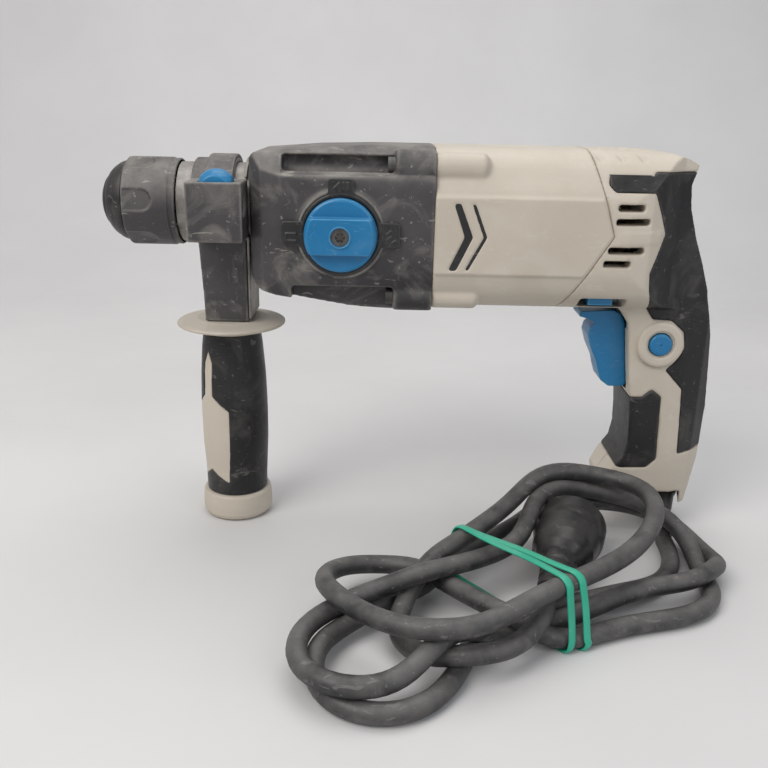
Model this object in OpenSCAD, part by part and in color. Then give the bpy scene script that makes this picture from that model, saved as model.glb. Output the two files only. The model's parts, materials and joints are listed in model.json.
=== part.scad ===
// Rotary hammer drill with a side handle, a two-mode-plus-chisel selector and a tied-up mains lead.
// Frame: spindle axis on X, nose towards -X, grip towards +X, +Z up, origin at the mouth of the nose.

/* [Stance] */
// Height of the spindle axis above the surface that the tool stands on
stand_h = 175; // [170:1:180]

/* [Tool holder] */
// Radius of the chuck sleeve
chuck_r = 22.2; // [21.5:0.1:23]
// Radius of the socket that takes the drill shank
socket_r = 5; // [4.9:0.05:5.1]
// Depth of the socket from the spindle's front end
socket_l = 50; // [46:1:50]
// Travel of the chuck sleeve when it is pulled back
sleeve_travel = 5; // [4:0.5:5]
// Radius of the collar that the side handle clamps on
neck_r = 20.1; // [19.6:0.1:20.3]

/* [Gear train] */
// Distance from the spindle down to the countershaft
counter_drop = 28; // [28:1:28]
// Distance from the spindle down to the motor shaft
motor_drop = 12; // [12:1:12]
// Teeth of the spindle gear
spindle_teeth = 45; // [45:1:45]
// Teeth of the countershaft pinion
counter_teeth = 11; // [11:1:11]
// Teeth of the reduction gear
reduction_teeth = 31; // [31:1:31]
// Teeth cut on the motor shaft
motor_teeth = 9; // [9:1:9]

/* [Housing] */
// Half width of the gearbox and motor housings
body_w = 36.5; // [36:0.5:38]
// Top of the housings above the spindle axis
body_top = 31; // [30:0.5:32]
// Bottom of the motor housing, measured from the spindle axis
body_bottom = -48; // [-50:0.5:-47]
// Front face of the gearbox cover
cover_x = 77; // [76:0.5:78]
// Joint face between the gearbox cover and the motor housing
joint_x = 168; // [166:1:170]

/* [Mode selector] */
// Distance of the selector axis behind the nose
selector_x = 123; // [121:1:125]
// Height of the selector axis
selector_z = -10; // [-11:0.5:-9]
// Radius of the selector knob
knob_r = 18.9; // [18:0.1:19.2]

/* [Side handle] */
// Distance of the side handle axis behind the nose
grip_x = 62; // [60:1:64]
// Radius of the hand guard flange
flange_r = 29; // [27:0.5:31]
// Radius of the foot disc
foot_r = 19.5; // [18:0.5:20]

/* [Pistol grip] */
// Half width of the grip
grip_w = 18; // [17:0.5:19]
// Travel of the trigger
trigger_travel = 6; // [4:0.5:6]
// Radius of the lock button
lock_r = 5.9; // [5:0.1:6.2]

/* [Mains lead] */
// Diameter of the lead
cord_d = 9; // [8:0.5:9.5]
// Radius of the round ends of the tied hank
hank_r = 56; // [50:1:57]
// Height of the tied hank
hank_h = 34; // [30:1:36]
// Radius of the plug body
plug_r = 18; // [16:0.5:18.5]

/* [Hidden] */

$fn = 64;
table_z = -stand_h;
counter_z = -counter_drop;
motor_z = -motor_drop;
// Running clearance between a shaft and its bearing
run = 0.03;

// Colours
beige = "#d2c8b4";
dark = "#56534f";
rubber = "#262626";
blue = "#1f86b8";
steel = "#8d9094";
bright = "#c9cbcd";
alloy = "#a9a59e";
copper = "#b06a3a";
black = "#1c1c1c";
green = "#2fb58c";

// ---- Shape helpers ----

// Extrudes a (y, z) outline from x0 to x1
module along_x(x0, x1) {
  translate([x0, 0, 0]) rotate([90, 0, 90]) linear_extrude(x1 - x0) children();
}

// Extrudes an (x, z) outline from y0 to y1
module along_y(y0, y1) {
  translate([0, y1, 0]) rotate([90, 0, 0]) linear_extrude(y1 - y0) children();
}

// Rod along X at height z
module rod_x(x0, x1, r, z = 0, y = 0) {
  translate([x0, y, z]) rotate([0, 90, 0]) cylinder(h = x1 - x0, r = r);
}

// Ring along X at height z
module ring_x(x0, x1, ro, ri, z = 0) {
  difference() {
    rod_x(x0, x1, ro, z);
    rod_x(x0 - 1, x1 + 1, ri, z);
  }
}

// Rod along Y through (x, z)
module rod_y(x, z, y0, y1, r) {
  translate([x, y0, z]) rotate([-90, 0, 0]) cylinder(h = y1 - y0, r = r);
}

// Box from its lowest to its highest corner
module box(a, b) {
  translate(a) cube(b - a);
}

// Body of revolution about X from its (x, r) outline
module turned(outline) {
  rotate([0, 90, 0]) rotate_extrude() polygon([for (p = outline) [p[1], p[0]]]);
}

// A copy on each side of the plane y = 0
module both_sides() {
  children();
  mirror([0, 1, 0]) children();
}

// Outline with each corner replaced by a curve that starts r before the corner
function rounded(p, r, steps = 4) = [
  for (i = [0 : len(p) - 1])
    let (
      before = p[(i + len(p) - 1) % len(p)], corner = p[i], after = p[(i + 1) % len(p)],
      s = corner + (before - corner) * min(r / norm(before - corner), 0.5),
      e = corner + (after - corner) * min(r / norm(after - corner), 0.5)
    )
      for (k = [0 : steps]) let (t = k / steps)
        (1 - t) * (1 - t) * s + 2 * t * (1 - t) * corner + t * t * e
];

// Closed outline from its half with positive first coordinate
function mirrored(h) = concat(h, [for (i = [len(h) - 1 : -1 : 0]) [-h[i][0], h[i][1]]]);

// Ring of n points square to direction d around p
function ring_at(p, d, r, n) =
  let (side = [-d[1], d[0], 0] / norm([d[0], d[1]]), up = cross(d, side) / norm(d))
    [for (k = [0 : n - 1]) p + r * (cos(360 * k / n) * side + sin(360 * k / n) * up)];

// Round bar along a path that tapers from radius r0 to r1
module swept(path, r0, r1, n) {
  last = len(path) - 1;
  rings = [for (i = [0 : last])
    let (d = path[min(i + 1, last)] - path[max(i - 1, 0)])
      ring_at(path[i], d, r0 + (r1 - r0) * i / last, n)];
  polyhedron(
    [for (q = rings) each q],
    concat(
      [for (i = [0 : last - 1], k = [0 : n - 1]) let (j = (k + 1) % n)
        [i * n + k, i * n + j, (i + 1) * n + j, (i + 1) * n + k]],
      [[for (k = [n - 1 : -1 : 0]) k]],
      [[for (k = [0 : n - 1]) last * n + k]]
    )
  );
}

// ---- Gears: 25 degree involute with stub teeth ----

pressure = 25;
addendum = 0.8;
dedendum = 1.05;
backlash = 0.12;

function inv_deg(t) = t * 180 / PI - atan(t);
function gear_outline(n, m) =
  let (
    rp = n * m / 2,
    rb = rp * cos(pressure),
    ra = rp + addendum * m,
    rd = rp - dedendum * m,
    t_pitch = tan(pressure),
    t_tip = sqrt(pow(ra / rb, 2) - 1),
    half = 90 / n - backlash / rp * 90 / PI + inv_deg(t_pitch),
    t_root = rd > rb ? sqrt(pow(rd / rb, 2) - 1) : 0,
    flank = [for (k = [0 : 3])
      let (t = t_root + (t_tip - t_root) * k / 3) [rb * sqrt(1 + t * t), half - inv_deg(t)]],
    side = rd < rb ? concat([[rd, half]], flank) : flank,
    tooth = concat([for (s = side) [s[0], -s[1]]], [for (i = [len(side) - 1 : -1 : 0]) side[i]])
  )
  [for (k = [0 : n - 1], s = tooth)
    let (a = s[1] + k * 360 / n) s[0] * [cos(a), sin(a)]];

// Gear along X with a tooth towards +Z turned by phase degrees
module gear_x(x0, x1, n, m, z, phase = 0) {
  translate([0, 0, z]) along_x(x0, x1) rotate(90 + phase) polygon(gear_outline(n, m));
}

module_spindle = 2 * counter_drop / (spindle_teeth + counter_teeth);
module_motor = 2 * (counter_drop - motor_drop) / (reduction_teeth + motor_teeth);

// ---- Tool holder ----

sleeve_x = [12.8, 39.5];
neck_x = 40;
ball_x = 27.5;
ball_r = 2.6;
ball_z = 7.7;
spring_washer_x = 39.5;
spindle_step = 5;
mouth_r = 7.1;
spindle_rear = 112;
bore_rear = 10;

module dust_cap() color(dark) turned([
  [0, mouth_r + 0.1], [0, 8.9], [0.6, 10], [1.7, 12.4], [3.4, 15.4], [5.6, 17.6],
  [8.4, 19.2], [12.4, 20.2], [12.4, 18], [8, 16.5], [8, 8.7], [spindle_step - 0.2, 8.7],
  [spindle_step - 0.2, mouth_r + 0.1]
]);

// Shelf inside the sleeve that stops short of the neck when the sleeve is pulled back
shelf_x = neck_x - 2 - sleeve_travel;

module chuck_sleeve() color(dark) difference() {
  turned([
    [sleeve_x[0], 9.2], [sleeve_x[0], chuck_r - 0.8], [sleeve_x[0] + 0.8, chuck_r],
    [35.5, chuck_r], [36.5, chuck_r - 0.6], [39, chuck_r - 0.4], [sleeve_x[1], chuck_r - 0.8],
    [sleeve_x[1], 20.6], [shelf_x, 20.6], [shelf_x, 14], [17, 14], [17, 9.2]
  ]);
  for (k = [0 : 5]) rotate([k * 60 - 7, 0, 0])
    along_y(-chuck_r - 1, -chuck_r + 1.1) union() {
      translate([12, -5.6]) square([10.5, 11.2]);
      translate([22.5, 0]) circle(5.6);
    }
}

module lock_ring() color(steel) ring_x(24, 30, 14, 10.7);
module locking_ball() color(bright) translate([ball_x, 0, ball_z]) sphere(ball_r);
module spring_washer() color(steel)
  ring_x(spring_washer_x, spring_washer_x + 2, 13.8, 10.4);

// Coil spring that pushes the sleeve forwards: span along X, coil radius, wire radius, turns
spring_span = [30.2, 39.4];
spring_r = 12.3;
spring_wire = 0.55;
spring_turns = 3;
spring_path = [for (k = [0 : 12 * spring_turns])
  let (a = 30 * k, rise = spring_span[1] - spring_span[0] - 2.4 * spring_wire)
    [spring_r * cos(a), spring_r * sin(a),
     spring_span[0] + 1.2 * spring_wire + rise * k / (12 * spring_turns)]];
module chuck_spring() color(bright)
  rotate([0, 90, 0]) swept(spring_path, spring_wire, spring_wire, 8);

module spindle() color(steel) difference() {
  turned([
    [0, socket_r], [0, mouth_r], [spindle_step, mouth_r], [spindle_step, 8.6], [22.4, 8.6],
    [22.4, 10.4], [44, 10.4], [44, 12], [80, 12], [80, 13.5], [spindle_rear, 13.5],
    [spindle_rear, bore_rear], [74, bore_rear], [74, 6.5],
    [socket_l, 6.5], [socket_l, socket_r]
  ]);
  translate([0, 0, 4.5]) linear_extrude(10) round_slot([24.2, 33], ball_r + 0.1);
}

// Slot with round ends along X between two x values
module round_slot(span, r) {
  translate([span[0] + r, -r]) square([span[1] - span[0] - 2 * r, 2 * r]);
  for (x = [span[0] + r, span[1] - r]) translate([x, 0]) circle(r);
}

module spindle_gear() color(steel) difference() {
  gear_x(97, 105, spindle_teeth, module_spindle, 0);
  rod_x(96, 106, 13.5);
}

module impact_bolt() color(bright) turned([
  [51, 0], [51, 4.3], [51.5, 4.8], [57, 4.8], [59, 6.4], [68, 6.4], [68, 5], [71, 5], [71, 0]
]);

module striker() color(bright) turned([
  [84, 0], [84, 4.5], [92, 4.5], [92, 7.44], [106, 7.44], [106, 0]
]);

// Hollow piston with a fork behind it that takes the wobble finger
module piston() color(alloy) difference() {
  rod_x(88, 132, bore_rear - 0.05);
  rod_x(87, 113, 7.5);
  along_y(-4.2, 4.2) polygon([
    [121.6, 12], [128.4, 12], [128.4, -3], [130.5, -12], [119.5, -12], [121.6, -3]
  ]);
}

// ---- Hammer mechanism and countershaft ----

wobble_x = 125;
hub_r = 9.7;
module wobble_hub() color(steel) difference() {
  translate([wobble_x, 0, counter_z]) sphere(hub_r);
  rod_x(wobble_x - 12, wobble_x + 12, 4, counter_z);
  translate([wobble_x, 0, counter_z]) rotate([0, 0, 12]) rotate([0, 90, 0])
    rotate_extrude() translate([hub_r, 0]) circle(1, $fn = 24);
}

module wobble_ring() color(bright) {
  difference() {
    translate([wobble_x, 0, counter_z]) union() {
      rod_x(-4, 4, 14.6);
      translate([0, 0, 13]) cylinder(h = counter_drop - 14, r = 2.4);
      translate([0, 0, counter_drop]) sphere(3.2);
    }
    translate([wobble_x, 0, counter_z]) sphere(hub_r + 0.35);
  }
}

module countershaft() color(steel) {
  rod_x(84, 95, 4, counter_z);
  gear_x(95, 106.5, counter_teeth, module_spindle, counter_z);
  rod_x(106.5, 154, 4, counter_z);
}

module reduction_gear() color(steel) difference() {
  gear_x(139, 146, reduction_teeth, module_motor, counter_z);
  rod_x(138, 147, 4, counter_z);
}

module countershaft_bearings() color(bright) {
  ring_x(85, 92, 8.5, 4 + run, counter_z);
  ring_x(148.2, 153.8, 8, 4 + run, counter_z);
}

// ---- Gearbox ----

module gearbox_nose() color(alloy) difference() {
  union() {
    rod_x(neck_x, 81, neck_r);
    rod_x(80.3, 85, 25.4);
    rod_x(84.2, 93, 9.9, counter_z);
    box([80.3, -9.9, counter_z], [85, 9.9, -15]);
  }
  rod_x(neck_x - 1, neck_x + 3, 15);
  rod_x(neck_x + 2, 86, 16.5);
  rod_x(85, 94, 8.5, counter_z);
  rod_x(83, 86, 5, counter_z);
}

module shaft_seal() color(rubber) ring_x(44, 49, 16.5, 12 + 2 * run);
module front_bearing() color(bright) ring_x(58, 70, 16.5, 12 + run);
module spindle_support() color(alloy) difference() {
  ring_x(107.5, 111.5, 25.5, 13.5 + run);
  rod_x(107, 112, 7, counter_z);
}

cover_half = [
  [18, body_top], [28, 26.5], [33, 19], [body_w, 16.5], [body_w, -29], [31.5, -42], [19, -51]
];
cover_side = [
  [cover_x, 24], [80, 27], [110, 29.8], [140, body_top], [joint_x, body_top], [joint_x, -50],
  [150, -50.6], [126, -48.2], [106, -45], [90, -42], [81, -38.5], [cover_x, -33]
];
cover_plan = mirrored([
  [22, cover_x], [27, cover_x + 1.5], [32.5, 84], [35, 93], [body_w, 112], [body_w, joint_x]
]);
ear_y = 27;
ear_z = [22, -41.4];
ear_x0 = 148.5;

module cover_outer() intersection() {
  along_x(cover_x, joint_x) polygon(rounded(mirrored(cover_half), 6));
  along_y(-body_w, body_w) polygon(cover_side);
  translate([0, 0, -60]) linear_extrude(100) rotate(-90) mirror([1, 0]) polygon(cover_plan);
}

module gear_space() {
  rod_x(80.2, 147, 25.6);
  rod_x(84, 112, 10, counter_z);
  rod_x(112, 147, 16.2, counter_z);
  box([80.2, -10, counter_z], [112, 10, 0]);
  box([112, -16, counter_z], [147, 16, 0]);
  box([92, -32, -30], [147, 32, 12]);
  rod_x(146, joint_x + 1, 31, -10);
}

module gearbox_cover() color(dark) difference() {
  union() {
    cover_outer();
    both_sides() for (z = ear_z) rod_x(ear_x0, joint_x, 6.3, z, ear_y);
  }
  gear_space();
  rod_x(cover_x - 1, 81, neck_r);
  both_sides() {
    along_x(94, ear_x0) polygon([[26, 25.5], [40, 25.5], [40, 17.6], [32.4, 17.6]]);
    rod_x(94, ear_x0, 4.6, ear_z[0], ear_y);
    along_x(98, ear_x0) polygon([[22.4, -60], [22.4, -37.2], [40, -35.4], [40, -60]]);
    for (z = ear_z) rod_x(ear_x0 - 1, joint_x + 1, 2.2, z, ear_y);
  }
  rod_y(selector_x, selector_z, -40, -20, 7);
}

module bearing_plate() color(alloy) difference() {
  union() {
    rod_x(154, 158, 30.9, -10);
    rod_x(148, 155, 10, counter_z);
    rod_x(157, 164.5, 12, motor_z);
  }
  rod_x(147, 154, 8, counter_z);
  rod_x(153, 155.5, 5, counter_z);
  rod_x(147, 158.1, 5, motor_z);
  rod_x(158, 165, 9.5, motor_z);
}

module screw_x(x0, x1, y, z, head_r, head_l, r) {
  rod_x(x0, x1, r, z, y);
  difference() {
    rod_x(x0 - head_l, x0, head_r, z, y);
    translate([0, y, z]) along_x(x0 - head_l - 1, x0 - head_l + 2) circle(2, $fn = 6);
  }
}

module housing_screws() color(steel)
  both_sides() for (z = ear_z) screw_x(ear_x0, 184, ear_y, z, 4.2, 3.5, 2.2);

// ---- Mode selector ----

module selector_plate() color(black) difference() {
  translate([selector_x, 0, selector_z]) along_y(-body_w - 1.8, -body_w) union() {
    circle(19.7);
    translate([-28.5, -6.2]) square([57, 12.4]);
    translate([-6.2, 0]) square([12.4, 26.4]);
  }
  rod_y(selector_x, selector_z, -40, -30, 7);
}

knob_back = -body_w - 2;
module selector_knob() color(blue) difference() {
  translate([selector_x, 0, selector_z]) {
    intersection() {
      rod_y(0, 0, knob_back - 9.5, knob_back, knob_r);
      union() {
        rod_y(0, 0, knob_back - 4.5, knob_back, knob_r);
        along_y(knob_back - 9.5, knob_back) translate([-20, -8.8]) square([40, 17.6]);
      }
    }
    rod_y(0, 0, knob_back, -25, 6.9);
    rod_y(4, 0, -26, -19, 1.8);
  }
  rod_y(selector_x, selector_z, knob_back - 12, knob_back - 5.5, 4.4);
  rod_y(selector_x, selector_z, knob_back - 12, -30, 2);
}

module selector_screw() color(steel) difference() {
  union() {
    rod_y(selector_x, selector_z, knob_back - 8.6, knob_back - 5.5, 4.3);
    rod_y(selector_x, selector_z, knob_back - 6, -30, 2);
  }
  translate([selector_x, 0, selector_z]) along_y(knob_back - 9, knob_back - 7)
    for (a = [0, 60, 120]) rotate(a) square([4.6, 1.5], center = true);
}

// ---- Motor ----

core_x = [183, 219];
module armature_shaft() color(steel) {
  gear_x(139, 148, motor_teeth, module_motor, motor_z, 180 + 180 / motor_teeth);
  rod_x(148, 152, 2.7, motor_z);
  rod_x(152, 247, 4, motor_z);
}
module armature_core() color(steel) difference() {
  rod_x(core_x[0], core_x[1], 18.6, motor_z);
  rod_x(182, 220, 4, motor_z);
  for (a = [0 : 30 : 330])
    translate([0, 0, motor_z]) rotate([a, 0, 0]) box([182, -1, 16.2], [220, 1, 20]);
}
module armature_windings() color(copper) {
  ring_x(176, core_x[0], 16, 4, motor_z);
  ring_x(core_x[1], 226, 15, 4, motor_z);
}
module commutator() color(copper) difference() {
  ring_x(226, 236, 11, 4, motor_z);
  for (a = [0 : 15 : 345])
    translate([0, 0, motor_z]) rotate([a, 0, 0]) box([225, -0.25, 10.2], [237, 0.25, 12]);
}
module fan() color(black) difference() {
  union() {
    rod_x(166, 175, 8, motor_z);
    rod_x(166, 167.5, 26.5, motor_z);
    for (a = [0 : 30 : 330])
      translate([0, 0, motor_z]) rotate([a, 0, 0]) box([167, -0.8, 7], [174, 0.8, 26]);
  }
  rod_x(165, 176, 4, motor_z);
}
module motor_bearings() color(bright) {
  ring_x(158.2, 163.8, 9.5, 4 + run, motor_z);
  ring_x(240.2, 246.6, 8, 4 + run, motor_z);
}
module stator_core() color(steel) ring_x(core_x[0] + 1, core_x[1] - 1, 31.5, 19.2, motor_z);
module field_coils() color(copper) difference() {
  union() {
    ring_x(177, core_x[0] + 1, 30, 20, motor_z);
    ring_x(core_x[1] - 1, 225, 30, 20, motor_z);
  }
  both_sides() box([170, 14, motor_z - 40], [230, 40, motor_z + 40]);
}
module brush_holders() color("#b89b4a") both_sides() difference() {
  box([226.5, 12.5, motor_z - 5.5], [235.5, 27, motor_z + 5.5]);
  box([228, 12, motor_z - 4], [234, 25, motor_z + 4]);
}
module carbon_brushes() color("#2c2c2e")
  both_sides() box([228, 11.1, motor_z - 4], [234, 22, motor_z + 4]);

body_half = [
  [18, body_top], [27.5, 25], [body_w, 9], [body_w, -28], [31.5, -41], [20, body_bottom]
];
seam = [[242.5, 40], [242.5, body_top], [255, -9], [231, body_bottom], [231, -60]];
wall_x = [236.5, 247];
inlay = 1.5;

module chevron(x, arm, depth) polygon([
  [x, 16], [x + arm, 16], [x + arm + depth, 0], [x + arm - 8, -18], [x - 8, -18], [x + depth, 0]
]);
module chevron_pair() {
  chevron(176.5, 5.5, 12);
  chevron(187.5, 3.2, 8);
}

module motor_housing() color(beige) difference() {
  union() {
    intersection() {
      along_x(joint_x, 260) polygon(rounded(mirrored(body_half), 6));
      along_y(-body_w, body_w) polygon(concat([[joint_x, 40]], seam, [[joint_x, -60]]));
    }
    both_sides() {
      rod_x(joint_x, 191, 6.8, ear_z[0], ear_y);
      rod_x(joint_x, 189, 5.8, ear_z[1], ear_y);
    }
  }
  rod_x(joint_x - 1, wall_x[0], 31.6, motor_z);
  rod_x(wall_x[1], 262, 27, motor_z);
  rod_x(wall_x[0] - 1, 241, 5, motor_z);
  rod_x(240, 248, 8, motor_z);
  for (a = [30 : 60 : 330])
    translate([0, 0, motor_z]) rotate([a, 0, 0]) rod_x(wall_x[0] - 1, wall_x[1] + 1, 5, 19);
  both_sides() {
    for (z = ear_z) rod_x(joint_x - 1, 184, 2.2, z, ear_y);
    translate([0, 0, -9]) along_y(body_w - inlay, body_w + 1) chevron_pair();
  }
}

module side_chevrons() color(black)
  both_sides() translate([0, 0, -9]) along_y(body_w - inlay, body_w + 0.1) chevron_pair();

// ---- Rear shells and pistol grip ----

shell_side = concat(
  [[242.5, body_top], [270, body_top], [283, 30], [292, 27.5], [297.6, 24.8], [297, 21]],
  [[294.9, 15], [296.4, 3.3], [301.5, -12], [307, -26], [311, -38], [312.5, body_bottom]],
  [[231, body_bottom], [255, -9]]
);
shell_plan = mirrored([
  [body_w, 225], [body_w, 262], [33.8, 273], [28.5, 281], [20.5, 290], [17.5, 300], [16, 314]
]);
grip_side = [
  [262, -44], [268, -50.5], [271.7, -56], [274.5, -80], [276.5, -95], [278, -110],
  [278.5, -122], [277, -131], [272, -138], [267, -146], [268, -153], [285, -159],
  [306, -161.5], [314.2, -158], [316.8, -148.5], [320.4, -133], [321.4, -103],
  [319.3, -80], [317.5, -63], [313, -46.5], [311, -40]
];
grip_plan = mirrored([
  [10, 262], [14.5, 266], [17.2, 272], [grip_w, 280], [grip_w, 304], [15, 314], [8, 322]
]);

module plan(outline) {
  translate([0, 0, -170]) linear_extrude(210) rotate(-90) mirror([1, 0]) polygon(outline);
}

module rear_outer() {
  intersection() {
    along_x(230, 314) polygon(rounded(mirrored(body_half), 6));
    along_y(-body_w, body_w) polygon(shell_side);
    plan(shell_plan);
  }
  intersection() {
    along_y(-grip_w, grip_w) polygon(grip_side);
    plan(grip_plan);
  }
}

lock_at = [289, -66.5];
boot_at = [307, 0, -157.2];
boot_ball = 8;
lever_pivot_x = 268;
lever_z = [-45.4, -41.2];

module rear_space() {
  rod_x(230, 276, 23.5, motor_z);
  rod_x(230, 268, 27, motor_z);
  box([262, -12.5, -60], [300, 12.5, -20]);
  box([281, -12.5, -150], [312, 12.5, -48]);
  box([250, -9.6, -94.5], [279 + trigger_travel, 9.6, -47]);
  translate([boot_at[0], 0, -170]) cylinder(h = 21.5, r = boot_ball + 0.4);
  translate(boot_at) rotate([0, 0, boot_heading])
    box([0, 0.3 - boot_ball, -13], [30, boot_ball - 0.3, 5.4]);
}

vents = [
  [255.5, 13.3, 4.9], [255, 17, -1.7], [252.5, 18, -15.6], [250.7, 13.5, -22]
];
dimple_x = [250, 261, 272];

back_zone = [
  [250.5, 21.5], [251, 15], [254, 12], [273.5, 12], [278, 2], [282, -8], [278, -19.5],
  [275, -27], [276, -36], [279, -46], [284, -53.5], [294, -54], [301, -60], [302.5, -69],
  [298, -77], [294, -81], [304, -91.5], [306.4, -129], [321, -126], [330, -126], [330, 21.5]
];
front_zone = [
  [262, -96], [283, -96.5], [288, -92], [293.5, -96], [295, -132], [290, -137],
  [276, -137.5], [262, -133]
];

module handle_shell() {
  difference() {
    union() {
      rear_outer();
      rod_y(lock_at[0], lock_at[1], -grip_w - 1.6, grip_w + 1.6, 12.4);
    }
    rear_space();
    along_y(-60, 60) polygon(front_zone);
    difference() {
      along_y(-60, 60) polygon(back_zone);
      rod_y(lock_at[0], lock_at[1], -60, 60, 12.4);
      box([240, -30, 0], [273, 30, 40]);
    }
    both_sides() {
      for (v = vents) box([v[0], 20, v[2] - 1.7], [v[0] + v[1], 40, v[2] + 1.7]);
      for (x = dimple_x) rod_y(x, body_top + 1.3, 5, 15, 2.5);
    }
    box([242.5, -40, lever_z[0] - 0.8], [266, 40, lever_z[1] + 0.8]);
    rod_y(lock_at[0], lock_at[1], -30, -10, lock_r + 0.3);
    for (s = shell_screws) {
      rod_y(s[0], s[1], -12, 40, 1.9);
      rod_y(s[0], s[1], 15, 60, 4.1);
    }
  }
  for (s = shell_screws) difference() {
    rod_y(s[0], s[1], -grip_w + 1.5, 15, 4);
    rod_y(s[0], s[1], -12, 40, 1.9);
  }
  translate([lever_pivot_x, 0, -48]) cylinder(h = 11, r = 1.95);
  box([lever_pivot_x - 2, -12.6, -38], [lever_pivot_x + 2, 12.6, -36]);
}
shell_screws = [[286, -147.5], [299.5, -100], [266, 22], [253, 22]];

module handle_shell_left() color(beige) intersection() {
  handle_shell();
  box([220, -60, -200], [340, 0, 60]);
}
module handle_shell_right() color(beige) intersection() {
  handle_shell();
  box([220, 0, -200], [340, 60, 60]);
}

module rubber_back() color(rubber) difference() {
  intersection() {
    rear_outer();
    along_y(-60, 60) polygon(back_zone);
  }
  rod_y(lock_at[0], lock_at[1], -60, 60, 12.4);
  box([240, -30, 0], [273, 30, 40]);
  rear_space();
  for (s = shell_screws) rod_y(s[0], s[1], -grip_w, 60, 4.1);
}

module rubber_front() color(rubber) difference() {
  intersection() {
    rear_outer();
    along_y(-60, 60) polygon(front_zone);
  }
  rear_space();
}

module handle_screws() color(steel) for (s = shell_screws) {
  rod_y(s[0], s[1], -11, 15, 1.9);
  difference() {
    rod_y(s[0], s[1], 15, 17.5, 3.6);
    translate([s[0], 0, s[1]]) along_y(16.3, 18) square([4.4, 1.2], center = true);
  }
}

switch_x = [291, 311];
module switch_module() color(black) box([switch_x[0], -9, -92], [switch_x[1], 9, -56]);

module trigger() color(blue) {
  along_y(-8.6, 8.6) polygon([
    [248, -53.6], [249, -52.2], [266, -51.2], [270, -53], [272.5, -58], [276.5, -91.5],
    [275, -93.4], [267, -93.4], [262.5, -90], [260.5, -84], [259.5, -80], [255.6, -72],
    [253.4, -65], [254.2, -61], [257, -58.5], [252, -56], [248, -55]
  ]);
  box([272, -7, -88], [switch_x[0] - 1.5 - trigger_travel, 7, -60]);
}

module direction_lever() color(blue) difference() {
  translate([0, 0, lever_z[0]]) linear_extrude(lever_z[1] - lever_z[0]) union() {
    translate([lever_pivot_x, 0]) circle(4.5);
    translate([250, -4]) square([16, 8]);
    translate([248, -23.5]) square([12.5, 47]);
  }
  translate([lever_pivot_x, 0, -60]) cylinder(h = 30, r = 2);
}

module lock_button() color(blue) union() {
  rod_y(lock_at[0], lock_at[1], -grip_w - 3, -13, lock_r);
  rod_y(lock_at[0], lock_at[1], -13.2, -12, 3);
}

// ---- Side handle ----

band_x = [47.5, 69];
block = [[49, -40, -15], [76, -20, 13.7]];
rod_at = [-34, 1.5];
bolt_r = 4;
arm_z = -60;

module clamp_yoke() color(dark) difference() {
  union() {
    rod_x(band_x[0], band_x[1], 22.4);
    box(block[0], block[1]);
    along_y(-15, 15) polygon([
      [49, -14], [band_x[0] + 1.5, -18], [50.5, -45], [51, arm_z], [73.5, arm_z], [73.5, -14]
    ]);
    box([band_x[0] + 1.5, -22, -15], [73.5, -14, 0]);
  }
  rod_x(40, 80, neck_r + 0.3);
  translate([0, rod_at[0], rod_at[1]]) rod_x(48, 77, 4.05);
  box([54.8, -38.4, 6.5], [71.4, -24.6, 20]);
  translate([grip_x, 0, -70]) cylinder(h = 60, r = bolt_r + 0.05);
}

module clamp_strap() color(dark) difference() {
  ring_x(55, 68.5, 24.5, 22.4);
  box([50, -40, -40], [72, 40, -12]);
  box([50, -40, -16], [72, 0, 14.2]);
}

module clamp_plate() color(alloy) difference() {
  union() {
    rod_x(73.7, 76.5, 23.2);
    along_y(-15, 15) polygon([[73.7, -10], [76.5, -10], [76.2, arm_z], [73.7, arm_z]]);
  }
  rod_x(70, 80, neck_r + 0.3);
  box([70, -41, -15.5], [80, -15, 14.2]);
}

module clamp_bolt() color(steel) translate([grip_x, 0, -76]) cylinder(h = 52, r = bolt_r);

module depth_button() color(blue) intersection() {
  union() {
    box([55.2, -38, 9.5], [71, -25, 17]);
    translate([63.1, -25, 3.8]) rotate([90, 0, 0]) cylinder(h = 13, r = 15.8);
  }
  box([55.2, -38, 9.5], [71, -25, 25]);
}

guard_z = [-68.2, arm_z - 0.3];
foot_z = table_z + 15;
core_r = 13;

// Grip radius profile: slim under the guard, fullest two thirds down
sleeve_profile = [
  [-68.2, 15.4], [-76, 16.4], [-92, 17.6], [-112, 18.3], [-130, 18.2], [-146, 17.3], [foot_z, 16.7]
];

module upright(outline) {
  translate([grip_x, 0, 0]) rotate_extrude() polygon([for (p = outline) [p[1], p[0]]]);
}

module handle_core() color(beige) difference() {
  upright([
    [guard_z[1], 0], [guard_z[1], 19], [-62.5, flange_r], [-64.3, flange_r],
    [guard_z[0], 17], [guard_z[0], core_r], [foot_z, core_r], [foot_z, 18.3],
    [-168, foot_r], [-172, foot_r - 0.4], [table_z, foot_r - 3], [table_z, 0]
  ]);
  translate([grip_x, 0, -76]) cylinder(h = 20, r = bolt_r);
}

module grip_sleeve() color(rubber)
  upright(concat([[guard_z[0], core_r]], sleeve_profile, [[foot_z, core_r]]));

// ---- Mains lead ----

// The boot leaves the grip towards boot_heading, dips by boot_dip, then bends level
boot_dip = 41;
boot_heading = -104;
boot_bend = 20;
boot_straight = 12;
boot_bend_at = boot_straight * [cos(boot_dip), -sin(boot_dip)]
  + boot_bend * [sin(boot_dip), cos(boot_dip)];
boot_reach = boot_bend_at[0] + boot_straight;
boot_end = boot_at + [
  boot_reach * cos(boot_heading), boot_reach * sin(boot_heading), boot_bend_at[1] - boot_bend
];

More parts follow.
